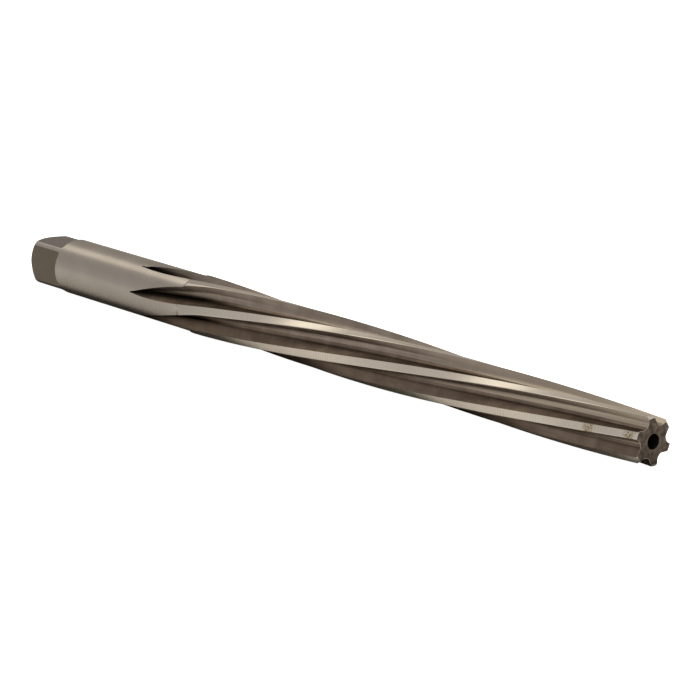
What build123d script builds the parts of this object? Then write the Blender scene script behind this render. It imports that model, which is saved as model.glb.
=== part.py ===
from build123d import *

import cmath
import math
import os

# Taper pin reamer: one piece of hardened tool steel, in millimetres.
# The tool lies along X with its small end at +X, on a surface at Z = 0.
# Until it is laid there, its small end is at the origin and the rest is at -X.

# Lengths, the first two from the small end
OVERALL_LENGTH = 160.3
FLUTED_LENGTH = 112.7
SQUARE_LENGTH = 9.6

# Cutting taper, 1 in 48 on diameter
SMALL_END_DIAMETER = 8.37
TAPER_RATIO = 48.0
SMALL_END_BEVEL = 0.4

# Round shank, and the ramp from the cutting taper down to it
SHANK_DIAMETER = 10.32
SHANK_RAMP_LENGTH = 0.6
SHANK_END_BEVEL = 1.3

# Driving square
SQUARE_ACROSS_FLATS = 7.9
SQUARE_SHOULDER_RADIUS = 0.5

# Teeth, wound left-handed. Angle 0 faces -Y and 90 faces +Z.
TEETH = 6
LEAD = 284.0
FIRST_TOOTH_ANGLE = 75.6

# Land: a narrow round margin, then a flat back that slopes down to the heel.
# A place round the tool is a share of the pitch, and a height is a share of the radius.
MARGIN_PLACE = 0.025
HEEL_PLACE = 0.275
HEEL_HEIGHT = 0.95

# Flute at full depth: a steep rake face, a round gullet and a long sloping floor.
# Its places are counted ahead of the cutting edge.
RAKE_FOOT_HEIGHT = 0.78
RAKE_FOOT_PLACE = 0.055
GULLET_HEIGHT = 0.665
GULLET_PLACE = 0.225
FLOOR_START_HEIGHT = 0.66
FLOOR_START_PLACE = 0.43

# Run-out: the flute rises on a curve, drifts sideways and closes to a V, whose
# lowest line ends in a point on the shank. The V's walls spread from that line,
# and a share of them is rounded.
RUNOUT_START = 106.0
RUNOUT_END = 127.3
RUNOUT_POINT_PLACE = 0.497
RUNOUT_RAKE_SPREAD = 0.16
RUNOUT_FLOOR_SPREAD = 0.45
RUNOUT_WALL_HEIGHT = 0.6
RUNOUT_ROUND_SHARE = 0.09
RUNOUT_CLOSING_POWER = 1.3
RUNOUT_LIFT_POWER = 2.25

# Centre holes: a 60 degree cone and a pilot drill
CENTRE_CONE_ANGLE = 60.0
DRILL_POINT_ANGLE = 118.0
TIP_CENTRE_DIAMETER = 2.5
TIP_PILOT_DIAMETER = 1.2
TIP_PILOT_LENGTH = 1.8
DRIVE_CENTRE_DIAMETER = 3.6
DRIVE_PILOT_DIAMETER = 1.6
DRIVE_PILOT_LENGTH = 2.4

# Room that a cutting shape keeps outside the steel
CLEARANCE = 1.5

PITCH = 360.0 / TEETH
SHANK_RADIUS = SHANK_DIAMETER / 2
SMALL_RADIUS = SMALL_END_DIAMETER / 2


def cone_radius(at):
    """Radius of the cutting taper at a distance from the small end."""
    return SMALL_RADIUS + at / (2 * TAPER_RATIO)


def edge_angle(at):
    """Angle of the first tooth's cutting edge at a distance from the small end."""
    return FIRST_TOOTH_ANGLE - 360.0 * at / LEAD


def polar(at, radius, angle):
    """Point of a section at a distance from the small end."""
    turn = math.radians(angle)
    return Vector(-at, -radius * math.cos(turn), radius * math.sin(turn))


def blend(start, end, share):
    """Value between start and end."""
    return start + (end - start) * share


def stations(start, end, spacing):
    """Evenly spaced distances from start to end, both included."""
    steps = math.ceil((end - start) / spacing)
    return [blend(start, end, step / steps) for step in range(steps + 1)]


def carried_past(inner, outer, reach):
    """Height and place on the line from inner through outer, past it by reach times its length."""
    start = cmath.rect(inner[0], math.radians(PITCH * inner[1]))
    end = cmath.rect(outer[0], math.radians(PITCH * outer[1]))
    past = end + (end - start) * reach
    return abs(past), math.degrees(cmath.phase(past)) / PITCH


def turned_blank():
    """Turned bar: bevel, cutting taper, ramp, shank and end bevel."""
    outline = Polyline(
        (0, 0),
        (0, SMALL_RADIUS - SMALL_END_BEVEL),
        (-SMALL_END_BEVEL, cone_radius(SMALL_END_BEVEL)),
        (-FLUTED_LENGTH, cone_radius(FLUTED_LENGTH)),
        (-FLUTED_LENGTH - SHANK_RAMP_LENGTH, SHANK_RADIUS),
        (-OVERALL_LENGTH + SHANK_END_BEVEL, SHANK_RADIUS),
        (-OVERALL_LENGTH, SHANK_RADIUS - SHANK_END_BEVEL),
        (-OVERALL_LENGTH, 0),
        close=True,
    )
    return revolve(make_face(outline), Axis.X)


def relief_section(at):
    """Area above the flat back of one land, from outside its margin to past its heel."""
    radius = cone_radius(at)
    edge = edge_angle(at)
    margin = polar(at, radius, edge + PITCH * MARGIN_PLACE)
    heel = polar(at, radius * HEEL_HEIGHT, edge + PITCH * HEEL_PLACE)
    outer = margin + (margin - heel) * 0.5
    inner = heel + (heel - margin) * 0.4
    lift = Vector(0, margin.Y, margin.Z).normalized() * CLEARANCE
    return make_face(Polyline(outer, inner, inner + lift, outer + lift, close=True))


def relief_cutter():
    """Helical strip that is ground off the back of one land."""
    end = FLUTED_LENGTH + SHANK_RAMP_LENGTH
    return loft([relief_section(at) for at in stations(-CLEARANCE, end, 10.0)])


def full_flute():
    """Heights and places of the flute's corners at full depth, both walls carried past the tooth."""
    tooth_tip = (1.0, 0.0)
    rake_foot = (RAKE_FOOT_HEIGHT, RAKE_FOOT_PLACE)
    gullet = (GULLET_HEIGHT, GULLET_PLACE)
    floor_start = (FLOOR_START_HEIGHT, FLOOR_START_PLACE)
    heel = (HEEL_HEIGHT, 1 - HEEL_PLACE)
    rake_top = carried_past(rake_foot, tooth_tip, 0.5)
    floor_top = carried_past(floor_start, heel, 0.75)
    return [rake_top, rake_foot, gullet, floor_start, floor_top]


def closed_flute():
    """The same corners for the V at the point of the run-out, before it is lifted."""
    foot = RUNOUT_ROUND_SHARE
    point = RUNOUT_POINT_PLACE
    wall = RUNOUT_WALL_HEIGHT
    return [
        (GULLET_HEIGHT + wall, point - RUNOUT_RAKE_SPREAD),
        (GULLET_HEIGHT + wall * foot, point - RUNOUT_RAKE_SPREAD * foot),
        (GULLET_HEIGHT, point),
        (GULLET_HEIGHT + wall * foot / 2, point + RUNOUT_FLOOR_SPREAD * foot),
        (GULLET_HEIGHT + wall, point + RUNOUT_FLOOR_SPREAD),
    ]


def flute_section(at):
    """Area that the flute wheel takes out of one section."""
    run = max(0.0, at - RUNOUT_START) / (RUNOUT_END - RUNOUT_START)
    closing = run ** RUNOUT_CLOSING_POWER
    radius = cone_radius(min(at, RUNOUT_START))
    lift = (SHANK_RADIUS - radius * GULLET_HEIGHT) * run ** RUNOUT_LIFT_POWER
    corners = []
    for full, closed in zip(full_flute(), closed_flute()):
        height = blend(full[0], closed[0], closing)
        place = blend(full[1], closed[1], closing)
        corners.append(polar(at, radius * height + lift, edge_angle(at) - PITCH * place))
    rake_top, rake_foot, gullet, floor_start, floor_top = corners
    rake = Line(rake_top, rake_foot)
    bottom = ThreePointArc(rake_foot, gullet, floor_start)
    floor = Line(floor_start, floor_top)
    cap = Line(floor_top, rake_top)
    return make_face(Curve() + [rake, bottom, floor, cap])


def flute_cutter():
    """Helical cut between two teeth, with its run-out."""
    past_point = RUNOUT_END + (RUNOUT_END - RUNOUT_START) * 0.04
    along_teeth = stations(-CLEARANCE, RUNOUT_START, 10.8)
    along_runout = stations(RUNOUT_START, past_point, 4.0)
    return loft([flute_section(at) for at in along_teeth + along_runout[1:]])


def square_cutter():
    """Block above one flat of the square, with a small round in its shoulder."""
    half_flat = SQUARE_ACROSS_FLATS / 2
    top = SHANK_RADIUS + CLEARANCE
    open_end = -OVERALL_LENGTH - CLEARANCE
    shoulder = -OVERALL_LENGTH + SQUARE_LENGTH
    side = FilletPolyline(
        (open_end, 0, half_flat),
        (shoulder, 0, half_flat),
        (shoulder, 0, top),
        radius=SQUARE_SHOULDER_RADIUS,
    )
    closing = Polyline((shoulder, 0, top), (open_end, 0, top), (open_end, 0, half_flat))
    return extrude(make_face(Curve() + [side, closing]), SHANK_RADIUS, both=True)


def centre_hole(mouth, pilot, pilot_length):
    """Centre hole whose mouth is at the origin and which runs towards -X."""
    cone_depth = (mouth - pilot) / 2 / math.tan(math.radians(CENTRE_CONE_ANGLE / 2))
    point_depth = pilot / 2 / math.tan(math.radians(DRILL_POINT_ANGLE / 2))
    pilot_end = cone_depth + pilot_length
    outline = Polyline(
        (CLEARANCE, 0),
        (CLEARANCE, mouth / 2),
        (0, mouth / 2),
        (-cone_depth, pilot / 2),
        (-pilot_end, pilot / 2),
        (-pilot_end - point_depth, 0),
        close=True,
    )
    return revolve(make_face(outline), Axis.X)


def around(cutter, count):
    """Copies of a cutting shape, evenly spaced round the tool."""
    return [Rot(X=360.0 * index / count) * cutter for index in range(count)]


def reamer():
    """The whole tool, along X with its small end at the origin."""
    body = turned_blank()
    body -= around(relief_cutter(), TEETH)
    body -= around(flute_cutter(), TEETH)
    body -= around(square_cutter(), 4)
    body -= centre_hole(TIP_CENTRE_DIAMETER, TIP_PILOT_DIAMETER, TIP_PILOT_LENGTH)
    drive_centre = centre_hole(DRIVE_CENTRE_DIAMETER, DRIVE_PILOT_DIAMETER, DRIVE_PILOT_LENGTH)
    body -= Pos(X=-OVERALL_LENGTH) * Rot(Z=180) * drive_centre
    return body


def laid_down(body):
    """Centres the tool over the origin, with its lowest point on the surface."""
    lowest = body.bounding_box().min.Z
    return Pos(OVERALL_LENGTH / 2, 0, -lowest) * body


os.makedirs("parts", exist_ok=True)
taper_reamer = laid_down(reamer())
export_step(taper_reamer, "parts/taper_reamer.step")
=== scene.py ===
import logging
import math
from dataclasses import dataclass, field
from enum import IntEnum
from functools import cached_property

import bmesh
import bpy
import numpy as np
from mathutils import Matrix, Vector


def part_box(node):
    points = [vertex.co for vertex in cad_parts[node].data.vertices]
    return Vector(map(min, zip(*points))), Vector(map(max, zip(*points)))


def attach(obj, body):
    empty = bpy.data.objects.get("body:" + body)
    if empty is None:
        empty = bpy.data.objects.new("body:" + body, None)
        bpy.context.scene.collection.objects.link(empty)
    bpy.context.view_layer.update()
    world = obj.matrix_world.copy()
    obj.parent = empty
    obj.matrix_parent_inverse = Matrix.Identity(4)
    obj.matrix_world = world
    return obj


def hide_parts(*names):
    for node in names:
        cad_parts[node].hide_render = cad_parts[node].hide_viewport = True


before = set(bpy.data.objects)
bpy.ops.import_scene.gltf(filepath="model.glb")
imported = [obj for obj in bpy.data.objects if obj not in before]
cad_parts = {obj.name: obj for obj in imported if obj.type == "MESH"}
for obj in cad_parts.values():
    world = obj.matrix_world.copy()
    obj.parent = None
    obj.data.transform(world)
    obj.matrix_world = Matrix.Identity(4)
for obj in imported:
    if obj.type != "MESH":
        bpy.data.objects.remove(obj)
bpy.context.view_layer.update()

# The tool lies along X with its small end at +X. All form sizes are in millimetres.
# A station is a distance from the small end. An angle of 0 faces -Y and of 90 faces +Z.
# A place is an angle ahead of the first cutting edge, counted in pitches of the teeth.

MM = 0.001
NODE = "taper_reamer"
BODY = "root"
TEETH = 6
PITCH = 2 * math.pi / TEETH

# The least that counts as more than nothing, and the least step that clears an edge along the tool
TINY = 1e-9
STEP_PAST = 1e-6

# Numbers of a mix node's sockets, which share their names: the share that it mixes by, its two
# numbers and its two colours, and then the colour that it gives
MIX_SHARE = 0
MIX_NUMBERS = (2, 3)
MIX_COLOURS = (6, 7)
MIXED_COLOUR = 2

Array = np.ndarray
Tree = bpy.types.NodeTree
Socket = bpy.types.NodeSocket
log = logging.getLogger("taper_reamer")


class Skin(IntEnum):
    """Finishes of the tool's surfaces, in the order of its material slots."""

    GROUND = 0
    RAKE = 1
    FLUTE = 2
    SQUARE = 3
    FACE = 4
    CENTRE = 5
    EDGE = 6


@dataclass
class Patch:
    """A grid of surface points, with rows along the tool and columns round it.

    Columns run towards smaller angles, and rows run away from the small end. The grain is a
    distance along the tool and one round it, or on an end face the two across it. The shade is a
    share of polish and one of painted shade in the flutes' creases, and each face has the number
    of its finish.
    """

    points: Array
    grain: Array
    shade: Array
    skins: Array


def smooth_step(value: Array) -> Array:
    """Ramp from 0 to 1 with level ends: 3 t squared less 2 t cubed, for t clipped to 0..1."""
    share = np.clip(value, 0.0, 1.0)
    return share * share * (3.0 - 2.0 * share)


def blend(start: Array, end: Array, share: Array) -> Array:
    """Value between start and end: the start, and a share of the way to the end."""
    return start + (end - start) * share


def even_rows(count: int) -> Array:
    """A column of evenly spaced shares from 0 to 1."""
    return np.linspace(0.0, 1.0, count)[:, None]


def line_radius(first: Array, second: Array, turn: Array) -> Array:
    """Radius of a straight wall, as seen from the axis.

    With the wall's two points as complex numbers a and b, and the ray as a unit number e, the
    radius is the cross product of b and a, over that of b less a and e.

    Args:
        first: One point of the wall, as a complex number.
        second: Another point of the wall, at a larger angle.
        turn: Angles of the rays, in radians.

    Returns:
        The distance from the axis to the wall along each ray, endless where the ray misses it.
    """
    ray = np.exp(1j * turn)
    across = (np.conj(second - first) * ray).imag
    return (np.conj(second) * first).imag / np.where(across < -TINY, across, -TINY)


def arc_radius(first: Array, middle: Array, last: Array, turn: Array) -> Array:
    """Radius of a hollow round wall through three points, as seen from the axis.

    The circle's centre c is where the perpendicular bisectors meet. Along a ray e the near side of
    the circle lies at c.e less the root of its squared radius less the squared cross product of c and e.

    Args:
        first: First point of the arc, as a complex number.
        middle: A point inside the arc.
        last: Last point of the arc.
        turn: Angles of the rays, in radians.

    Returns:
        The distance from the axis to the arc along each ray.
    """
    ratio = (last - first) / (middle - first)
    centre = first + (middle - first) * (ratio - abs(ratio) ** 2) / (ratio - np.conj(ratio))
    seen = centre * np.exp(-1j * turn)
    inside = abs(first - centre) ** 2 - seen.imag**2
    return seen.real - np.sqrt(np.maximum(inside, 0.0))


@dataclass(frozen=True)
class TurnedBlank:
    """The turned and ground bar, before its flutes and square are cut."""

    overall_length: float = 160.3
    fluted_length: float = 112.7
    small_end_radius: float = 8.37 / 2
    taper_ratio: float = 48.0
    small_end_bevel: float = 0.4
    shank_radius: float = 10.32 / 2
    ramp_length: float = 0.6
    end_bevel: float = 1.3
    lead: float = 284.0
    first_tooth: float = math.radians(75.6)

    @property
    def taper_end(self) -> float:
        """Station where the taper has ramped down to the shank."""
        return self.fluted_length + self.ramp_length

    @property
    def bevel_start(self) -> float:
        """Station where the bevel at the square end starts."""
        return self.overall_length - self.end_bevel

    def cone(self, at: Array) -> Array:
        """Radius of the cutting taper: the small end's, and half of the station over the ratio."""
        return self.small_end_radius + at / (2 * self.taper_ratio)

    def turned(self, at: Array) -> Array:
        """Radius of the turned outline, straight between its corners.

        Args:
            at: Stations.

        Returns:
            The radius at each station.
        """
        bevel, last = self.small_end_bevel, self.fluted_length
        stations = [0, bevel, last, self.taper_end, self.bevel_start, self.overall_length]
        radii = [
            self.small_end_radius - bevel,
            self.cone(bevel),
            self.cone(last),
            self.shank_radius,
            self.shank_radius,
            self.shank_radius - self.end_bevel,
        ]
        return np.interp(at, stations, radii)

    def angle(self, at: Array, place: Array) -> Array:
        """Angle of a place: the first tooth's, less a turn for each lead and each whole round of places."""
        return self.first_tooth - 2 * math.pi * at / self.lead - PITCH * place

    def points(self, at: Array, radius: Array, angle: Array) -> Array:
        """Points on the tool: X falls with the station, and the radius turns in Y and Z.

        Args:
            at: Station of each point.
            radius: Distance of each point from the axis.
            angle: Angle of each point.

        Returns:
            X, Y and Z of each point, in metres.
        """
        low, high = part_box(NODE)
        at, radius, angle = np.broadcast_arrays(at, radius, angle)
        x = high.x - at * MM
        y = -radius * np.cos(angle) * MM
        z = low.z + (self.shank_radius + radius * np.sin(angle)) * MM
        return np.stack([x, y, z], axis=-1)


@dataclass(frozen=True)
class CuttingLength:
    """The six helical teeth with the flutes between them, up to the points of the run-outs.

    A corner of the flute is a height, as a share of the cone's radius, and a place. The margin and
    the heel are counted behind their cutting edge. A reach is the share of its own length by which
    a straight wall is carried past its end. Starts, ends and lengths are in millimetres along the
    tool, and widths and spreads are in places round it. Rows and columns set how fine the grid is.
    """

    blank: TurnedBlank

    margin_place: float = 0.025
    heel_place: float = 0.275
    heel_height: float = 0.95
    back_reach: float = 0.4
    rake_foot: tuple[float, float] = (0.78, 0.055)
    gullet: tuple[float, float] = (0.665, 0.225)
    floor_start: tuple[float, float] = (0.66, 0.43)
    rake_reach: float = 0.5
    floor_reach: float = 0.75
    ground_place: float = 0.235

    runout_start: float = 106.0
    runout_end: float = 127.3
    point_place: float = 0.497
    rake_spread: float = 0.16
    floor_spread: float = 0.45
    wall_height: float = 0.6
    round_share: float = 0.09
    closing_power: float = 1.3
    lift_power: float = 2.25
    levelling: float = 8.0

    polish_end: float = 120.0
    polish_fade: float = 25.0
    worn_length: float = 70.0
    # Painted shade along the crease where the gullet meets the floor: where it starts to grow, over what
    # length, its width and share, and how far it leans
    painted_shade_start: float = 96.0
    painted_shade_growth: float = 14.0
    painted_shade_width: tuple[float, float] = (0.05, 0.18)
    painted_shade_share: tuple[float, float] = (0.5, 1.0)
    painted_shade_lean: float = 0.07

    bevel_rows: int = 4
    tooth_rows: int = 76
    taper_rows: int = 16
    runout_rows: int = 52
    rake_columns: tuple[int, int] = (2, 4)
    gullet_columns: tuple[int, int] = (10, 8)
    floor_columns: tuple[int, int] = (8, 2)
    back_columns: int = 16
    margin_columns: int = 8
    depth_steps: int = 3001
    share_steps: int = 2001
    point_search: tuple[float, float, int] = (-0.5, 1.5, 41)

    @property
    def margin(self) -> float:
        """Place where a land's flat back gives way to its round margin."""
        return 1.0 - self.margin_place

    @property
    def heel(self) -> float:
        """Place of a land's heel."""
        return 1.0 - self.heel_place

    @property
    def back_share(self) -> float:
        """Share of a land that its back takes where the land's columns are even."""
        return self.back_columns / (self.back_columns + self.margin_columns)

    def corners(self, at: Array) -> Array:
        """Corners of the flute's section, as complex numbers with the first cutting edge on the real axis.

        The full flute's two straight walls are carried past the tooth by a share of their length. Its
        heights and places blend into those of a V by a power of the share run of the run-out, and
        the whole section lifts by another power of that share.

        Args:
            at: Stations, one for each row.

        Returns:
            A row of five corners for each station: rake top, rake foot, gullet, floor start and floor top.
        """
        heel = (self.heel_height, self.heel)
        full = np.array([(1.0, 0.0), self.rake_foot, self.gullet, self.floor_start, heel])
        full = full[:, 0] * np.exp(1j * PITCH * full[:, 1])
        full[0] += self.rake_reach * (full[0] - full[1])
        full[4] += self.floor_reach * (full[4] - full[3])
        full = np.stack([abs(full), np.angle(full) / PITCH], axis=1)

        point, base, wall, foot = self.point_place, self.gullet[0], self.wall_height, self.round_share
        closed = np.array([
            (base + wall, point - self.rake_spread),
            (base + wall * foot, point - self.rake_spread * foot),
            (base, point),
            (base + wall * foot / 2, point + self.floor_spread * foot),
            (base + wall, point + self.floor_spread),
        ])
        run = np.maximum(at - self.runout_start, 0.0)[:, None] / (self.runout_end - self.runout_start)
        radius = self.blank.cone(np.minimum(at, self.runout_start))[:, None]
        section = blend(full[None], closed[None], run[..., None] ** self.closing_power)
        lift = (self.blank.shank_radius - radius * base) * run**self.lift_power
        return (radius * section[..., 0] + lift) * np.exp(1j * PITCH * section[..., 1])

    def flute(self, at: Array, place: Array) -> Array:
        """Radius of the flute's wall: a straight rake face, a round gullet and a straight floor.

        Args:
            at: Stations, one for each row.
            place: Places of each row.

        Returns:
            The radius at each place.
        """
        top, foot, gullet, start, end = (corner[:, None] for corner in self.corners(at).T)
        turn = PITCH * place
        rake = line_radius(top, foot, turn)
        bottom = arc_radius(foot, gullet, start, turn)
        floor = line_radius(start, end, turn)
        return np.where(turn < np.angle(foot), rake, np.where(turn < np.angle(start), bottom, floor))

    def outside(self, at: Array, place: Array) -> Array:
        """Radius outside the flutes: the turned outline, and on the taper the flat back of each land.

        The back runs from the margin to the heel, and past it by a share of that distance.

        Args:
            at: Stations, one for each row.
            place: Places of each row.

        Returns:
            The radius at each place.
        """
        cone = self.blank.cone(at)[:, None]
        turned = self.blank.turned(at)[:, None]
        low = cone * self.heel_height * np.exp(1j * PITCH * self.heel)
        high = cone * np.exp(1j * PITCH * self.margin)
        back = line_radius(low, high, PITCH * place)
        past_heel = self.heel - self.back_reach * (self.margin - self.heel)
        ground = (place > past_heel) & (place < self.margin) & (at[:, None] <= self.blank.taper_end)
        return np.where(ground, np.minimum(turned, back), turned)

    def depth(self, at: Array) -> tuple[Array, Array]:
        """A fine scale of places, and how far inside the outside the flute's wall lies at each."""
        place = np.linspace(0.0, 1.0, self.depth_steps)
        return place, self.outside(at, place[None]) - self.flute(at, place[None])

    @cached_property
    def point(self) -> tuple[float, float]:
        """Station and place of the point where the flute comes out of the shank.

        Round the nominal end of the run-out, the greatest depth falls almost evenly with the station.

        Returns:
            The station where that depth comes to nothing, and the place of the greatest depth there.
        """
        before, after, count = self.point_search
        at = np.linspace(self.runout_end + before, self.runout_end + after, count)
        place, depth = self.depth(at)
        end = np.interp(0.0, -depth.max(axis=1), at)
        last = self.depth(np.array([end]))[1][0]
        return float(end), float(place[last.argmax()])

    def limits(self, at: Array) -> tuple[Array, Array]:
        """Places where each flute's two walls meet the outside.

        They are where the depth changes sign, with a straight line between the two nearest values.

        Args:
            at: Stations, one for each row.

        Returns:
            The place of the rake side and that of the floor side, at each station.
        """
        place, depth = self.depth(at)
        cut = depth > TINY
        rows = np.arange(len(at))
        found = at < self.point[0] - STEP_PAST
        ends = []
        for side, step in ((cut.argmax(axis=1), -1), (place.size - 1 - cut[:, ::-1].argmax(axis=1), 1)):
            near = np.clip(side, 1, place.size - 2)
            inner, outer = depth[rows, near], depth[rows, near + step]
            crossing = place[near] + step * (place[1] - place[0]) * inner / (inner - outer)
            ends.append(np.where(found, crossing, self.point[1]))
        return ends[0], ends[1]

    def columns(self, at: Array, middle: Array) -> Array:
        """Places of one tooth's columns at each station, from one rake side to the next.

        Columns stand on the rake's foot, on the ends of the round gullet, on the heel and on the
        margin's start, and part of them on the height of the small end's bevel. Where the outside
        comes down past one of these in the run-out, its columns meet on the flute's edge.

        Args:
            at: Stations, one for each row.
            middle: Places where the land's back gives way to its margin.

        Returns:
            A row of places for each station.
        """
        rake_side, floor_side = self.limits(at)
        corners = self.corners(at)
        foot = np.clip(np.angle(corners[:, 1]) / PITCH, rake_side, floor_side)
        start = np.clip(np.angle(corners[:, 3]) / PITCH, rake_side, floor_side)
        rake_share, floor_share = self.bevel_shares()
        ground = np.clip(self.ground_place, foot, start)
        on_rake = blend(rake_side, foot, rake_share)
        on_floor = blend(start, floor_side, floor_share)
        stops = [
            (rake_side, on_rake, self.rake_columns[0]),
            (on_rake, foot, self.rake_columns[1]),
            (foot, ground, self.gullet_columns[0]),
            (ground, start, self.gullet_columns[1]),
            (start, on_floor, self.floor_columns[0]),
            (on_floor, floor_side, self.floor_columns[1]),
            (floor_side, middle, self.back_columns),
            (middle, 1.0 + rake_side, self.margin_columns),
        ]
        parts = [
            blend(low[:, None], high[:, None], np.arange(count)[None] / count)
            for low, high, count in stops
        ]
        return np.concatenate(parts + [1.0 + rake_side[:, None]], axis=1)

    def bevel_shares(self) -> tuple[float, float]:
        """Where the small end's bevel meets the flute's two straight walls.

        Returns:
            The share of the rake face and that of the floor, counted in place.
        """
        height = self.blank.small_end_radius - self.blank.small_end_bevel
        scale = np.linspace(0.0, 1.0, self.share_steps)
        at = np.zeros(1)
        rake = self.flute(at, blend(0.0, self.rake_foot[1], scale)[None])[0]
        floor = self.flute(at, blend(self.floor_start[1], self.heel, scale)[None])[0]
        return np.interp(height, rake[::-1], scale[::-1]), np.interp(height, floor, scale)

    def around(self, tooth: Array) -> Array:
        """Places of all the teeth's columns, from those of one tooth."""
        teeth = [tooth[:, :-1] + index for index in range(TEETH)]
        return np.concatenate(teeth + [tooth[:, :1] + TEETH], axis=1)

    def repeated(self, values: Array) -> Array:
        """Values of all the teeth's columns, where each tooth has the same ones."""
        return np.concatenate([values[:, :-1]] * TEETH + [values[:, :1]], axis=1)

    def shade(self, at: Array, place: Array) -> Array:
        """Shares of polish on the lands and of painted shade in the flutes.

        The lands' polish fades by a smooth step of the station, and so does the wear of the rake
        faces near the small end, which takes its place there. The painted shade darkens the line where
        the gullet meets the floor, and falls off as e to the minus square of the distance from it over
        a width. Its share and width grow into the run-outs, where it leans towards the rake face.

        Args:
            at: Station of each point.
            place: Place of each point.

        Returns:
            The two shares of each point.
        """
        tooth = place % 1.0
        on_land = smooth_step((self.polish_end - at) / self.polish_fade)
        on_rake = smooth_step(1.0 - at / self.worn_length)
        polish = np.where(tooth > self.heel, on_land, on_rake)
        # Painted shade: black laid along the gullet's crease, widest and darkest in the run-outs
        growth = smooth_step((at - self.painted_shade_start) / self.painted_shade_growth)
        line = np.angle(self.corners(at[:, 0])[:, 3])[:, None] / PITCH
        apart = (tooth - line + self.painted_shade_lean * growth) / blend(*self.painted_shade_width, growth)
        painted_shade = blend(*self.painted_shade_share, growth) * np.exp(-apart**2)
        return np.stack([polish, painted_shade], axis=-1)

    def radius(self, at: Array, place: Array) -> Array:
        """Radius of the finished section: the lesser of the outside's and the flute's."""
        return np.minimum(self.outside(at, place), self.flute(at, place))

    @property
    def flute_columns(self) -> int:
        """Number of columns in one flute."""
        return sum(self.rake_columns) + sum(self.gullet_columns) + sum(self.floor_columns)

    def skins(self, rows: int, land: Skin) -> Array:
        """Finish of each face: the rake's as far as the gullet's ground part, the flute's, the land's.

        Args:
            rows: Number of rows of faces.
            land: Finish of the lands.

        Returns:
            The number of a finish for each face.
        """
        rake = sum(self.rake_columns) + self.gullet_columns[0]
        tooth = [Skin.RAKE] * rake
        tooth += [Skin.FLUTE] * (self.flute_columns - rake)
        tooth += [land] * (self.back_columns + self.margin_columns)
        return np.tile(np.array(tooth), (rows, TEETH))

    def patch(self, at: Array, tooth: Array, radius: Array, land: Skin = Skin.GROUND) -> Patch:
        """Grid through all the teeth.

        Args:
            at: Station of each point of one tooth.
            tooth: Place of each point of one tooth.
            radius: Radius of each point of one tooth.
            land: Finish of the lands.

        Returns:
            The patch, closed round the tool.
        """
        at, radius, place = self.repeated(at), self.repeated(radius), self.around(tooth)
        shade = self.shade(at, place)
        points = self.blank.points(at, radius, self.blank.angle(at, place))
        across = place * PITCH * self.blank.shank_radius
        return Patch(points, np.stack([at, across], axis=-1), shade, self.skins(len(at) - 1, land))

    def tooth_patches(self) -> list[Patch]:
        """The small end's bevel and the teeth at full depth.

        A column's bevel ends where the sloping outline comes up to the tooth's own section, so the
        bevel's edge runs true over the lands.

        Returns:
            The bevel and the teeth.
        """
        bevel = np.array([self.blank.small_end_bevel])
        tooth = self.columns(bevel, np.array([self.margin]))
        share = self.radius(bevel, tooth) / self.blank.cone(bevel)
        face, rim = self.blank.turned(np.append(0.0, bevel))
        slope, widening = (rim - face) / bevel, 0.5 / self.blank.taper_ratio
        bevel_end = (share * self.blank.small_end_radius - face) / (slope - share * widening)
        bevel_end = np.maximum(bevel_end, 0.0)

        at = bevel_end * even_rows(self.bevel_rows)
        radius = np.minimum(face + slope * at, share * self.blank.cone(at))
        # The bevel's lands take the pale edge finish: worn steel with a painted highlight
        start = self.patch(at, np.repeat(tooth, len(at), axis=0), radius, Skin.EDGE)

        at = blend(bevel_end, self.runout_start, even_rows(self.tooth_rows))
        teeth = self.patch(at, np.repeat(tooth, len(at), axis=0), share * self.blank.cone(at))
        return [start, teeth]

    def runout_patches(self) -> list[Patch]:
        """The flutes' run-outs, first on the taper and then in the shank.

        The two stretches meet in a low step, where the ground backs of the lands end. From there on,
        the lands' columns level out to an even spacing.

        Returns:
            The stretch on the taper, the step and the stretch in the shank.
        """
        taper = np.linspace(self.runout_start, self.blank.taper_end, self.taper_rows)
        shank = np.linspace(self.blank.taper_end, self.point[0], self.runout_rows)

        first = self.columns(taper, np.full(len(taper), self.margin))
        rake_side, floor_side = self.limits(shank)
        level = blend(floor_side, 1.0 + rake_side, self.back_share)
        spread = smooth_step((shank - self.blank.taper_end) / self.levelling)
        second = self.columns(shank, blend(self.margin, level, spread))
        second[0] = first[-1]

        on_taper, on_shank = (
            self.patch(np.repeat(at[:, None], tooth.shape[1], axis=1), tooth, self.radius(read_at, tooth))
            for at, read_at, tooth in ((taper, taper, first), (shank, shank + STEP_PAST, second))
        )
        before, after = ((part.points, part.grain, part.shade) for part in (on_taper, on_shank))
        step = [np.stack([low[-1], high[0]]) for low, high in zip(before, after)]
        return [on_taper, Patch(*step, self.skins(1, Skin.GROUND)), on_shank]

    def shank_angles(self) -> Array:
        """Angles of the lands' columns where all the flutes have closed to points.

        Returns:
            The angle of each column, all round the shank.
        """
        end = np.array([self.point[0]])
        tooth = self.columns(end, self.point[1] + np.array([self.back_share]))
        place = tooth[:, self.flute_columns:]
        return self.blank.angle(end[:, None], self.around(place))[0]


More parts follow.
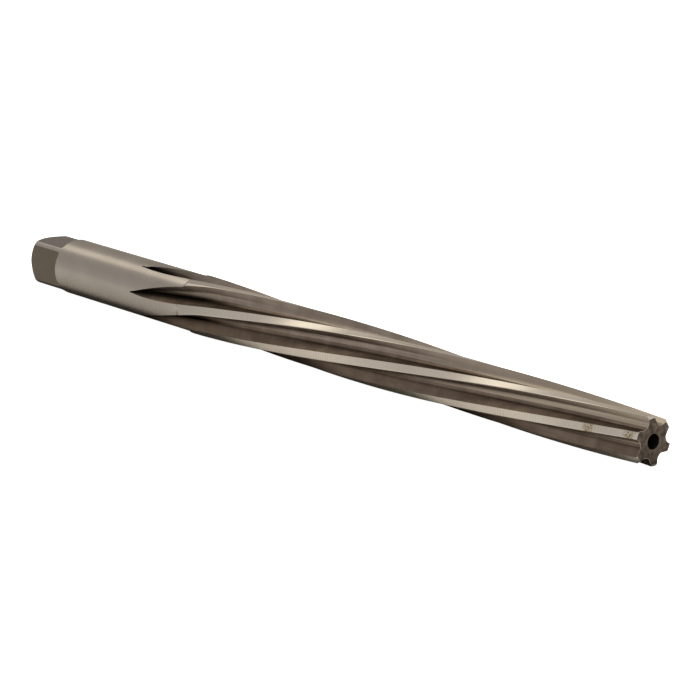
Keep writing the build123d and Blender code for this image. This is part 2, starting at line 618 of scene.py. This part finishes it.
@dataclass(frozen=True)
class DrivingEnd:
    """The plain shank with the driving square cut in its end."""

    blank: TurnedBlank
    cutting: CuttingLength

    square_length: float = 9.6
    half_flat: float = 7.9 / 2
    shoulder_radius: float = 0.5

    plain_rows: int = 14
    round_rows: int = 7
    flat_rows: int = 10
    bevel_rows: int = 3
    corner_columns: int = 8
    quarters: int = 8

    @property
    def shoulder(self) -> float:
        """Station of the square's shoulder."""
        return self.blank.overall_length - self.square_length

    def square_angles(self, start: Array) -> Array:
        """Angles of the square's columns: even over each flat, and even over each round corner.

        A quarter's angles repeat at every quarter turn, for more turns than the helix has, and the
        ones next to the start are taken.

        Args:
            start: The shank's columns, of which the first gives the place to start from.

        Returns:
            As many angles, falling from the one next to that start.
        """
        count = len(start) - 1
        flat_columns = count // 4 - self.corner_columns
        corner = math.acos(self.half_flat / self.blank.shank_radius)
        flat = np.linspace(corner, -corner, flat_columns, endpoint=False)
        edge = np.linspace(-corner, corner - math.pi / 2, self.corner_columns, endpoint=False)
        quarter = np.concatenate([flat, edge])
        turns = np.arange(-self.quarters, self.quarters + 1)[:, None] * -math.pi / 2
        every = (quarter[None] + turns).ravel()
        first = int(np.argmin(abs(every - start[0])))
        return every[first:first + count + 1]

    def patches(self) -> list[Patch]:
        """The plain shank, the square's shoulder with its round, the flats and corners, and the end bevel.

        Seen from the axis, a flat lies at its distance over the cosine of the angle from its middle.
        A column that crosses a flat leaves the shank where the shoulder's wall or its round starts,
        and reaches the end bevel where that sloping outline comes down to the flat.

        Returns:
            The patches, in order along the tool.
        """
        shank = self.blank.shank_radius
        start = self.cutting.shank_angles()
        angle = self.square_angles(start)
        lean = np.cos((angle + math.pi / 4) % (math.pi / 2) - math.pi / 4)
        on_flat = shank * lean > self.half_flat + TINY

        top = np.minimum(shank * lean, self.half_flat + self.shoulder_radius)
        sunk = np.clip((self.half_flat + self.shoulder_radius - top) / self.shoulder_radius, 0.0, 1.0)
        first = np.where(on_flat, np.arcsin(sunk), math.pi / 2)
        turn = blend(first[None], math.pi / 2, even_rows(self.round_rows))
        round_at = self.shoulder + self.shoulder_radius * (1.0 - np.cos(turn))
        round_radius = (self.half_flat + self.shoulder_radius * (1.0 - np.sin(turn))) / lean
        round_radius = np.where(on_flat, np.minimum(round_radius, shank), shank)

        steps = even_rows(self.plain_rows)
        plain_at = blend(self.cutting.point[0], round_at[:1], steps)
        plain_angle = blend(start[None], angle[None], smooth_step(steps))
        plain_radius = np.full(plain_at.shape, shank)

        flat_radius = np.where(on_flat, self.half_flat / lean, shank)
        flat_end = self.blank.bevel_start + shank - flat_radius
        flat_at = blend(round_at[-1:], flat_end[None], even_rows(self.flat_rows))
        bevel_at = blend(flat_end[None], self.blank.overall_length, even_rows(self.bevel_rows))
        bevel_radius = shank - (bevel_at - self.blank.bevel_start)

        skin = np.where(on_flat[:-1] | on_flat[1:], Skin.SQUARE, Skin.GROUND)
        wall_at = np.stack([plain_at[-1], round_at[0]])
        wall_radius = np.stack([plain_radius[-1], round_radius[0]])
        parts = [
            (plain_at, plain_radius, plain_angle, Skin.GROUND),
            (wall_at, wall_radius, angle, Skin.SQUARE),
            (round_at, round_radius, angle, skin),
            (flat_at, flat_radius, angle, skin),
            (bevel_at, bevel_radius, angle, Skin.SQUARE),
        ]
        return [self.ring(*part) for part in parts]

    def ring(self, at: Array, radius: Array, angle: Array, skin: Array | Skin) -> Patch:
        """Patch round the shank, with no polish or painted shade.

        Args:
            at: Station of each point.
            radius: Radius of each point, or of each column.
            angle: Angle of each point, or of each column.
            skin: Finish of all the faces, or of each column of them.

        Returns:
            The patch, closed round the shank.
        """
        at, radius, angle = np.broadcast_arrays(at, radius, angle)
        grain = np.stack([at, -angle * self.blank.shank_radius], axis=-1)
        skins = np.full((at.shape[0] - 1, at.shape[1] - 1), skin)
        return Patch(self.blank.points(at, radius, angle), grain, np.zeros(grain.shape), skins)


@dataclass(frozen=True)
class CentreHole:
    """A centre hole: a cone with a pilot drilled in its bottom, and the end face round its mouth.

    The mouth and the pilot are diameters. The worn edge, painted pale partly as a highlight, is the
    outermost share of the end face.
    """

    mouth: float
    pilot: float
    pilot_length: float
    cone_angle: float = math.radians(60.0)
    point_angle: float = math.radians(118.0)
    face_rows: int = 7
    edge_share: float = 0.030

    def profile(self) -> tuple[Array, Array]:
        """Outline of the hole, from its mouth to the drilled point on the axis.

        Returns:
            The depths and the radii of its corners.
        """
        half, wide = self.pilot / 2, self.mouth / 2
        cone_end = (wide - half) / math.tan(self.cone_angle / 2)
        pilot_end = cone_end + self.pilot_length
        point_end = pilot_end + half / math.tan(self.point_angle / 2)
        return np.array([0.0, cone_end, pilot_end, point_end]), np.array([wide, half, half, 0.0])

    def patches(self, blank: TurnedBlank, at: float, inward: int, rim: Array, angle: Array) -> list[Patch]:
        """The end face and the hole, from the rim of the tool's end to the axis.

        The face's radius goes evenly from the rim to the mouth, after a first thin row that is the
        worn edge with its painted highlight, and the hole follows its profile.

        Args:
            blank: The bar that the hole is in.
            at: Station of the end face.
            inward: 1 where the hole runs to larger stations, and -1 where it runs to smaller ones.
            rim: Radius of the face's rim at each column.
            angle: Angle of each column.

        Returns:
            The face and the hole. Their rows run away from the small end.
        """
        depth, radius = self.profile()
        steps = np.append(0.0, np.linspace(self.edge_share, 1.0, self.face_rows))[:, None]
        face_radius = blend(rim[None], self.mouth / 2, steps)
        face_at = np.full(face_radius.shape, at)
        hole_radius = np.repeat(radius[:, None], len(rim), axis=1)
        hole_at = np.repeat(at + inward * depth[:, None], len(rim), axis=1)
        made = []
        face = (face_at, face_radius, Skin.FACE, Skin.EDGE)
        hole = (hole_at, hole_radius, Skin.CENTRE, Skin.CENTRE)
        for stations, radii, skin, first in (face, hole):
            points = blank.points(stations, radii, angle[None])
            grain = points[..., 1:] / MM
            order = slice(None, None, -inward)
            skins = np.full((len(stations) - 1, len(rim) - 1), skin)
            # The first row takes the given finish: on the face, the pale edge, worn steel with a painted
            # highlight
            skins[0] = first
            made.append(Patch(points[order], grain[order], np.zeros(grain.shape), skins[order]))
        return made


def hex_to_linear(code: str) -> tuple[float, float, float, float]:
    """Linear colour of an sRGB hex value, by sRGB's curve: a straight foot, then a power of 2.4.

    Args:
        code: Six hex digits, after a hash.

    Returns:
        Red, green, blue and an alpha of 1.
    """
    parts = [int(code[index:index + 2], 16) / 255 for index in (1, 3, 5)]
    linear = [part / 12.92 if part <= 0.04045 else ((part + 0.055) / 1.055) ** 2.4 for part in parts]
    return (*linear, 1.0)


def add_object(name: str, data: bpy.types.ID) -> bpy.types.Object:
    """Adds an object to the scene.

    Args:
        name: The object's name.
        data: Its mesh, camera or light.

    Returns:
        The object.
    """
    made = bpy.data.objects.new(name, data)
    bpy.context.scene.collection.objects.link(made)
    return made


def empty_tree(owner: bpy.types.ID) -> Tree:
    """Turns on the nodes of a material or world, and clears them.

    Args:
        owner: The material or world.

    Returns:
        Its node tree, with no nodes in it.
    """
    owner.use_nodes = True
    owner.node_tree.nodes.clear()
    return owner.node_tree


def add_node(tree: Tree, kind: str, settings: dict | None = None,
             links: dict | None = None) -> bpy.types.Node:
    """Adds a node.

    Args:
        tree: The node tree.
        kind: Blender's name of the node's type.
        settings: Values by the name or number of an input socket, or by the name of a property.
        links: Output sockets by the name or number of the input socket that they go to.

    Returns:
        The node.
    """
    node = tree.nodes.new(kind)
    for name, value in (settings or {}).items():
        if hasattr(node, str(name)):
            setattr(node, name, value)
        else:
            node.inputs[name].default_value = value
    for name, output in (links or {}).items():
        tree.links.new(output, node.inputs[name])
    return node


def span(side: str, ends: tuple[float, float]) -> dict[str, float]:
    """Settings for both ends of one side of a range, From or To."""
    return {side + " Min": ends[0], side + " Max": ends[1]}


@dataclass(frozen=True)
class SteelFinish:
    """A finish of the tool steel, cut, ground or turned.

    Marks are streaks: noise drawn out along the way that the wheel or cutter went. Clouds are the
    slow change of tone that handling leaves. Both bring in the dark tone, none of it at the first of
    the lows and their full share of it at the second, and the marks also set the roughness and a
    bump. The shade's two shares lay over them the colours of polished steel and of painted shade
    in the flutes' creases. Chatter shows where there is polish. A dried drop of oil lies round its
    middle, given in metres, from its outer radius to the one where it is full, broken up by
    blotches. A span is the two values of the noise between which its effect runs.
    """

    name: str
    colour: str
    dark: str
    roughness: tuple[float, float]
    mark_mm: tuple[float, float, float]
    mark_depth_mm: float
    mark_share: float = 0.35
    cloud_mm: float = 6.0
    cloud_share: float = 0.35
    lows: tuple[float, float] = (0.65, 0.35)
    roughness_span: tuple[float, float] = (0.3, 0.7)
    noise_detail: float = 3.0
    noise_roughness: float = 0.55
    follows_flute: bool = False
    polish: str = ""
    painted_shade: str = ""
    grazing: str = "#ffffff"
    chatter_mm: float = 0.0
    chatter_share: float = 0.0
    chatter_wobble: float = 0.6
    chatter_span: tuple[float, float] = (0.4, 0.6)
    drop: str = ""
    drops: tuple[tuple[float, float, float], ...] = ()
    drop_mm: tuple[float, float] = (1.5, 0.6)
    blotch_mm: float = 0.35
    blotch_share: float = 0.9
    blotch_span: tuple[float, float] = (0.40, 0.58)

    def material(self) -> bpy.types.Material:
        """Builds the finish's material.

        Returns:
            A metal whose colour and roughness vary with its marks, clouds and shade.
        """
        made = bpy.data.materials.new(self.name)
        tree = empty_tree(made)
        solid = add_node(tree, "ShaderNodeTexCoord").outputs["Object"]
        if self.follows_flute:
            grain = add_node(tree, "ShaderNodeUVMap", {"uv_map": "grain"}).outputs["UV"]
            marks = self.patches(tree, grain, self.mark_mm)
        else:
            marks = self.patches(tree, solid, tuple(size * MM for size in self.mark_mm))
        under: dict[int, Socket] = {}
        for colour, amount in self.layers(tree, solid, marks):
            tones = dict(zip(MIX_COLOURS, (hex_to_linear(self.colour), hex_to_linear(colour))))
            mix = add_node(tree, "ShaderNodeMix", {"data_type": "RGBA", **tones},
                           {MIX_SHARE: amount, **under})
            under = {MIX_COLOURS[0]: mix.outputs[MIXED_COLOUR]}

        roughness = add_node(tree, "ShaderNodeMapRange",
                             span("From", self.roughness_span) | span("To", self.roughness),
                             {"Value": marks})
        bump = add_node(tree, "ShaderNodeBump", {"Strength": 1.0, "Distance": self.mark_depth_mm * MM},
                        {"Height": marks})
        shader = add_node(tree, "ShaderNodeBsdfPrincipled",
                          {"Metallic": 1.0, "Specular Tint": hex_to_linear(self.grazing)},
                          {"Base Color": under[MIX_COLOURS[0]],
                           "Roughness": roughness.outputs["Result"], "Normal": bump.outputs["Normal"]})
        add_node(tree, "ShaderNodeOutputMaterial", None, {"Surface": shader.outputs["BSDF"]})
        return made

    def patches(self, tree: Tree, place: Socket, size: tuple[float, float, float]) -> Socket:
        """Uneven patches: noise near 0.5 on average, stretched to a size along each axis.

        Args:
            tree: The material's node tree.
            place: Places that the noise is read at.
            size: Size of a patch along each axis, in the place's own unit.

        Returns:
            The output socket of the noise.
        """
        scaled = add_node(tree, "ShaderNodeMapping", {"Scale": tuple(1.0 / length for length in size)},
                          {"Vector": place})
        return add_node(tree, "ShaderNodeTexNoise",
                        {"Scale": 1.0, "Detail": self.noise_detail, "Roughness": self.noise_roughness},
                        {"Vector": scaled.outputs["Vector"]}).outputs["Fac"]

    def layers(self, tree: Tree, solid: Socket, marks: Socket) -> list[tuple[str, Socket]]:
        """Colours that lie over the finish's own, from the lowest to the topmost.

        Args:
            tree: The material's node tree.
            solid: Places in metres.
            marks: The marks' noise.

        Returns:
            A colour as a hex value, and the output socket of its amount, for each layer.
        """
        shade = add_node(tree, "ShaderNodeUVMap", {"uv_map": "shade"}).outputs["UV"]
        shares = add_node(tree, "ShaderNodeSeparateXYZ", None, {"Vector": shade}).outputs
        clouds = self.patches(tree, solid, (self.cloud_mm * MM,) * 3)
        over = []
        for pattern, share in ((clouds, self.cloud_share), (marks, self.mark_share)):
            low = add_node(tree, "ShaderNodeMapRange", span("From", self.lows) | {"To Max": share},
                           {"Value": pattern})
            over.append((self.dark, low.outputs["Result"]))
        if self.polish:
            over.append((self.polish, shares["X"]))
        if self.chatter_mm:
            over.append((self.dark, self.chatter(tree, solid, clouds, shares["X"])))
        over += [(self.drop, self.dried(tree, solid, middle)) for middle in self.drops]
        # Painted shade in the flutes' creases, by the shade's second share
        if self.painted_shade:
            over.append((self.painted_shade, shares["Y"]))
        return over

    def chatter(self, tree: Tree, solid: Socket, clouds: Socket, polish: Socket) -> Socket:
        """Amount of the even cross lines that a trembling wheel leaves, in some stretches only.

        A wave texture's period is pi over ten times its scale, so the scale is pi over ten periods.

        Args:
            tree: The material's node tree.
            solid: Places in metres.
            clouds: Noise that picks the stretches.
            polish: Share of polish.

        Returns:
            The output socket of the amount.
        """
        wave = add_node(tree, "ShaderNodeTexWave",
                        {"Scale": math.pi / 10 / (self.chatter_mm * MM),
                         "Distortion": self.chatter_wobble}, {"Vector": solid})
        stretch = add_node(tree, "ShaderNodeMapRange",
                           span("From", self.chatter_span) | {"To Max": self.chatter_share},
                           {"Value": clouds})
        lines = add_node(tree, "ShaderNodeMath", {"operation": "MULTIPLY"},
                         {0: wave.outputs["Fac"], 1: stretch.outputs["Result"]})
        return add_node(tree, "ShaderNodeMath", {"operation": "MULTIPLY"},
                        {0: lines.outputs[0], 1: polish}).outputs[0]

    def dried(self, tree: Tree, solid: Socket, middle: tuple[float, float, float]) -> Socket:
        """Amount of a dried drop, which falls with the distance from its middle and is blotchy.

        Args:
            tree: The material's node tree.
            solid: Places in metres.
            middle: The drop's middle, in metres.

        Returns:
            The output socket of the amount.
        """
        apart = add_node(tree, "ShaderNodeVectorMath", {"operation": "DISTANCE", 1: middle}, {0: solid})
        radii = (self.drop_mm[0] * MM, self.drop_mm[1] * MM)
        inside = add_node(tree, "ShaderNodeMapRange", span("From", radii),
                          {"Value": apart.outputs["Value"]})
        blotches = add_node(tree, "ShaderNodeMapRange",
                            span("From", self.blotch_span) | {"To Max": self.blotch_share},
                            {"Value": self.patches(tree, solid, (self.blotch_mm * MM,) * 3)})
        return add_node(tree, "ShaderNodeMath", {"operation": "MULTIPLY"},
                        {0: inside.outputs["Result"], 1: blotches.outputs["Result"]}).outputs[0]


def land_point(at: float, place: float) -> tuple[float, float, float]:
    """Point on the cutting taper at a station and place, in metres."""
    blank = TurnedBlank()
    return tuple(blank.points(at, blank.cone(at), blank.angle(at, place)).tolist())


# Real lines from a grinding wheel or cutter are a few hundredths of a millimetre apart, too fine to
# show in the render. They are drawn 0.10 to 0.35 mm wide, which is as coarse as they need to be.
FINISHES = {
    # Round grinding: a soft even sheen with faint streaks round the tool. The lands are paler and
    # warmer, with cross lines in some stretches and two yellow drops of old oil.
    Skin.GROUND: SteelFinish(
        "satin_ground_steel", "#a2998f", "#8f867d", roughness=(0.27, 0.29), mark_mm=(0.35, 6.0, 6.0),
        mark_depth_mm=0.0001, mark_share=0.06, polish="#cabfb0", grazing="#cbc5be", chatter_mm=0.62,
        chatter_share=0.25, drop="#7d6a3a", drops=(land_point(9.9, 0.86), land_point(1.4, 0.87))),
    # Face grinding along the flute: a darker sheen with streaks along it, rubbed pale near the
    # small end and black towards the floor with painted shade in the crease.
    Skin.RAKE: SteelFinish(
        "ground_rake_steel", "#988b7f", "#6b5b50", roughness=(0.34, 0.42), mark_mm=(9.0, 0.30, 1.0),
        mark_depth_mm=0.0002, cloud_mm=3.5, cloud_share=0.45, follows_flute=True, polish="#a39685",
        painted_shade="#080605", grazing="#a09890"),
    # Milling along the flute: dull and dark brown-grey, with streaks along it and black painted shade at
    # its root.
    Skin.FLUTE: SteelFinish(
        "milled_flute_steel", "#7f7063", "#4b3e35", roughness=(0.36, 0.48), mark_mm=(9.0, 0.16, 1.0),
        mark_depth_mm=0.002, cloud_mm=3.5, cloud_share=0.45, follows_flute=True, painted_shade="#080605",
        grazing="#7c7468"),
    # Milling across the square: dull, dark and even, with fine lines.
    Skin.SQUARE: SteelFinish(
        "milled_square_steel", "#6e6255", "#564c41", roughness=(0.46, 0.58), mark_mm=(0.10, 5.0, 5.0),
        mark_depth_mm=0.002),
    # Sawing and rough grinding: dull and dark, mottled in small patches.
    Skin.FACE: SteelFinish(
        "sawn_end_steel", "#776a5d", "#3a3028", roughness=(0.42, 0.55), mark_mm=(0.30, 0.30, 0.30),
        mark_depth_mm=0.006, cloud_mm=0.9, cloud_share=0.8),
    # Drilling: black, as painted shade in the hole, so the hole shows no wall.
    Skin.CENTRE: SteelFinish(
        "drilled_steel", "#14110e", "#080706", roughness=(0.40, 0.55), mark_mm=(0.10, 1.0, 1.0),
        mark_depth_mm=0.002),
    # Broken edges: bare steel painted pale, part of it a painted highlight, seen as a thin pale line round
    # the small end.
    Skin.EDGE: SteelFinish(
        "bright_edge_steel", "#d2c9be", "#aea59a", roughness=(0.26, 0.34), mark_mm=(0.30, 0.30, 0.30),
        mark_depth_mm=0.0005),
}


@dataclass
class TaperReamer:
    """The one-piece taper pin reamer: its whole surface as one closed mesh.

    Points closer than the weld's size are made one, and an edge that turns by more than the crease
    is sharp.
    """

    blank: TurnedBlank = field(default_factory=TurnedBlank)
    tip_centre: CentreHole = CentreHole(mouth=2.5, pilot=1.2, pilot_length=1.8)
    drive_centre: CentreHole = CentreHole(mouth=3.6, pilot=1.6, pilot_length=2.4)
    weld_mm: float = 0.0002
    crease: float = math.radians(12.0)

    def patches(self) -> list[Patch]:
        """Makes the whole surface, in patches that meet edge to edge.

        Returns:
            The patches.
        """
        cutting = CuttingLength(self.blank)
        driving = DrivingEnd(self.blank, cutting)
        teeth = cutting.tooth_patches()
        drive = driving.patches()
        tip_rim, tip_angle = self.polar(teeth[0].points[0])
        end_rim, end_angle = self.polar(drive[-1].points[-1])
        tip = self.tip_centre.patches(self.blank, 0.0, 1, tip_rim, tip_angle)
        end = self.drive_centre.patches(self.blank, self.blank.overall_length, -1, end_rim, end_angle)
        return teeth + cutting.runout_patches() + drive + tip + end

    def polar(self, points: Array) -> tuple[Array, Array]:
        """Works out where points lie round the tool's axis.

        Args:
            points: X, Y and Z of each point, in metres.

        Returns:
            The radius of each point, in millimetres, and its angle, which runs on past a whole turn.
        """
        low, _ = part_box(NODE)
        height = (points[:, 2] - low.z) / MM - self.blank.shank_radius
        reach = -points[:, 1] / MM
        return np.hypot(reach, height), np.unwrap(np.arctan2(height, reach))

    def mesh(self) -> bpy.types.Mesh:
        """Puts the patches into one mesh, welds them, and creases their corners.

        Returns:
            The mesh, with its grain and its shade as UV maps and a finish for each face.
        """
        corners, grains, shades, skins, points, used = [], [], [], [], [], 0
        for patch in self.patches():
            rows, columns = patch.points.shape[:2]
            index = used + np.arange(rows * columns).reshape(rows, columns)
            quads = np.stack([index[:-1, :-1], index[:-1, 1:], index[1:, 1:], index[1:, :-1]], axis=-1)
            corners.append(quads.reshape(-1, 4))
            grains.append(patch.grain.reshape(-1, 2))
            shades.append(patch.shade.reshape(-1, 2))
            skins.append(patch.skins.ravel())
            points.append(patch.points.reshape(-1, 3))
            used += rows * columns
        faces = np.concatenate(corners)
        mesh = bpy.data.meshes.new(NODE + "_surface")
        mesh.from_pydata(np.concatenate(points).tolist(), [], faces.tolist())
        mesh.polygons.foreach_set("material_index", np.concatenate(skins).astype(np.int32))
        for name, values in (("grain", grains), ("shade", shades)):
            layer = mesh.uv_layers.new(name=name)
            layer.data.foreach_set("uv", np.concatenate(values)[faces.ravel()].astype(np.float32).ravel())

        welded = bmesh.new()
        welded.from_mesh(mesh)
        bmesh.ops.remove_doubles(welded, verts=welded.verts, dist=self.weld_mm * MM)
        bmesh.ops.dissolve_degenerate(welded, edges=welded.edges, dist=self.weld_mm * MM)
        if welded.calc_volume(signed=True) < 0:
            bmesh.ops.reverse_faces(welded, faces=welded.faces)
        open_edges = sum(1 for edge in welded.edges if not edge.is_manifold)
        log.info("surface: %d faces, %d open edges, %.0f cubic millimetres", len(welded.faces),
                 open_edges, welded.calc_volume() / MM**3)
        welded.to_mesh(mesh)
        welded.free()
        mesh.shade_smooth()
        mesh.set_sharp_from_angle(angle=self.crease)
        return mesh

    def build(self) -> bpy.types.Object:
        """Makes the piece, dresses it and sets it in the place of its CAD node.

        Returns:
            The piece's object.
        """
        mesh = self.mesh()
        for skin in Skin:
            mesh.materials.append(FINISHES[skin].material())
        piece = add_object("reamer", mesh)
        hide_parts(NODE)
        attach(piece, BODY)
        return piece


@dataclass(frozen=True)
class Studio:
    """A white table under one long soft light, and the camera.

    The lamp, the table and the camera's nearest distance are in metres. The room's levels are for
    light from low down, from the camera's side and from behind. Its bands are the heights and the
    depths of a direction, as shares of its length, between which one level gives way to another.
    """

    focal_mm: float = 163.65
    sensor_mm: float = 36.0
    azimuth: float = math.radians(49.96)
    elevation: float = math.radians(14.82)
    tip_right_mm: float = 46.0525
    tip_down_mm: float = 13.92
    tip_away_mm: float = 483.1465
    nearest: float = 0.01

    lamp_height: float = 0.5
    lamp_size: tuple[float, float] = (2.4, 0.24)
    lamp_watts: float = 2.0
    lamp_colour: str = "#fefcf1"
    table_size: float = 6.0
    table_colour: str = "#fafafa"
    glow_in_metal: float = 0.05
    glow_to_camera: float = 1.0
    shadow_colour: str = "#5a544d"
    shadow_mm: tuple[float, float] = (3.8, 5.2)
    room_low: float = 0.75
    room_front: float = 0.66
    room_back: float = 0.75
    room_heights: tuple[float, float] = (0.12, 0.35)
    room_depths: tuple[float, float] = (-0.5, 0.4)

    def camera(self) -> bpy.types.Object:
        """Sets the camera where the small end's centre falls at its place in the frame.

        Its place is the small end's centre less that centre's distances to the right, down and away,
        along the camera's own axes.

        Returns:
            The camera.
        """
        low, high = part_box(NODE)
        tip = np.array([high.x, 0.0, low.z + TurnedBlank().shank_radius * MM])
        a, e = self.azimuth, self.elevation
        right = np.array([math.cos(a), math.sin(a), 0.0])
        back = np.array([math.sin(a) * math.cos(e), -math.cos(a) * math.cos(e), math.sin(e)])
        up = np.cross(back, right)
        place = tip + MM * (self.tip_away_mm * back - self.tip_right_mm * right + self.tip_down_mm * up)
        data = bpy.data.cameras.new("camera")
        data.lens = self.focal_mm
        data.sensor_width = self.sensor_mm
        data.clip_start = self.nearest
        camera = add_object("camera", data)
        camera.location = place
        camera.rotation_euler = (math.pi / 2 - e, 0.0, a)
        bpy.context.scene.camera = camera
        return camera

    def table(self) -> bpy.types.Object:
        """Lays a table level with the tool's lowest point.

        Returns:
            The table.
        """
        low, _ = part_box(NODE)
        half = self.table_size / 2
        mesh = bpy.data.meshes.new("table")
        corners = [(-half, -half, low.z), (half, -half, low.z), (half, half, low.z), (-half, half, low.z)]
        mesh.from_pydata(corners, [], [(0, 1, 2, 3)])
        mesh.materials.append(self.painted_board())
        table = add_object("table", mesh)
        return table

    def painted_board(self) -> bpy.types.Material:
        """Material of the table: board with matt white paint.

        It is even, pale and without gloss. It glows white to the camera, so that it meets the white
        background with no line, and a little in what metal mirrors. A strip below the tool is painted
        dark as a deep shadow, which shows only in the tool's underside.

        Returns:
            The material.
        """
        made = bpy.data.materials.new("matt_painted_board")
        tree = empty_tree(made)
        path = add_node(tree, "ShaderNodeLightPath").outputs
        mirrored = add_node(tree, "ShaderNodeMath", {"operation": "MAXIMUM"},
                            {0: path["Is Glossy Ray"], 1: path["Is Transmission Ray"]})
        in_metal = add_node(tree, "ShaderNodeMath", {"operation": "MULTIPLY", 1: self.glow_in_metal},
                            {0: mirrored.outputs[0]})
        level = add_node(tree, "ShaderNodeMath", {"operation": "MULTIPLY_ADD", 1: self.glow_to_camera},
                         {0: path["Is Camera Ray"], 2: in_metal.outputs[0]})
        glow = add_node(tree, "ShaderNodeEmission", {"Color": hex_to_linear("#ffffff")},
                        {"Strength": level.outputs[0]})
        # Painted shadow: a darker strip along the tool, by the distance from its axis in Y
        spot = add_node(tree, "ShaderNodeTexCoord").outputs["Object"]
        aside = add_node(tree, "ShaderNodeSeparateXYZ", None, {"Vector": spot})
        apart = add_node(tree, "ShaderNodeMath", {"operation": "ABSOLUTE"}, {0: aside.outputs["Y"]})
        edges = (self.shadow_mm[0] * MM, self.shadow_mm[1] * MM)
        lit = add_node(tree, "ShaderNodeMapRange", span("From", edges), {"Value": apart.outputs[0]})
        tones = (hex_to_linear(self.shadow_colour), hex_to_linear(self.table_colour))
        colour = add_node(tree, "ShaderNodeMix", {"data_type": "RGBA", **dict(zip(MIX_COLOURS, tones))},
                          {MIX_SHARE: lit.outputs["Result"]})
        diffuse = add_node(tree, "ShaderNodeBsdfDiffuse", None,
                           {"Color": colour.outputs[MIXED_COLOUR]})
        both = add_node(tree, "ShaderNodeAddShader", None, {0: glow.outputs[0], 1: diffuse.outputs[0]})
        add_node(tree, "ShaderNodeOutputMaterial", None, {"Surface": both.outputs[0]})
        return made

    def lamp(self) -> bpy.types.Object:
        """Adds one long soft light above the tool, in line with it.

        Returns:
            The light.
        """
        data = bpy.data.lights.new("long_softbox", "AREA")
        data.shape = "RECTANGLE"
        data.size, data.size_y = self.lamp_size
        data.energy = self.lamp_watts
        data.color = hex_to_linear(self.lamp_colour)[:3]
        lamp = add_object("long_softbox", data)
        lamp.location = (0.0, 0.0, self.lamp_height)
        return lamp

    def room(self) -> bpy.types.World:
        """Room light: one level low down, and others above, on the camera's side and behind.

        Returns:
            The world.
        """
        world = bpy.data.worlds.new("room")
        bpy.context.scene.world = world
        tree = empty_tree(world)
        place = add_node(tree, "ShaderNodeTexCoord").outputs["Generated"]
        split = add_node(tree, "ShaderNodeSeparateXYZ", None, {"Vector": place}).outputs
        high = add_node(tree, "ShaderNodeMapRange", span("From", self.room_heights),
                        {"Value": split["Z"]})
        levels = (self.room_front, self.room_back)
        side = add_node(tree, "ShaderNodeMapRange", span("From", self.room_depths) | span("To", levels),
                        {"Value": split["Y"]})
        level = add_node(tree, "ShaderNodeMix", {"data_type": "FLOAT", MIX_NUMBERS[0]: self.room_low},
                         {MIX_SHARE: high.outputs["Result"], MIX_NUMBERS[1]: side.outputs["Result"]})
        background = add_node(tree, "ShaderNodeBackground", {"Color": hex_to_linear("#ffffff")},
                              {"Strength": level.outputs[0]})
        add_node(tree, "ShaderNodeOutputWorld", None, {"Surface": background.outputs[0]})
        return world

    def build(self) -> None:
        """Sets up the camera, the table, the light and the room."""
        self.camera()
        self.table()
        self.lamp()
        self.room()
        bpy.context.scene.view_settings.view_transform = "Standard"


def main() -> None:
    """Builds the tool and the studio."""
    logging.basicConfig(level=logging.INFO, format="%(name)s: %(message)s")
    Studio().build()
    piece = TaperReamer().build()
    log.info("%s: %d faces", piece.name, len(piece.data.polygons))


if __name__ == "__main__":
    main()
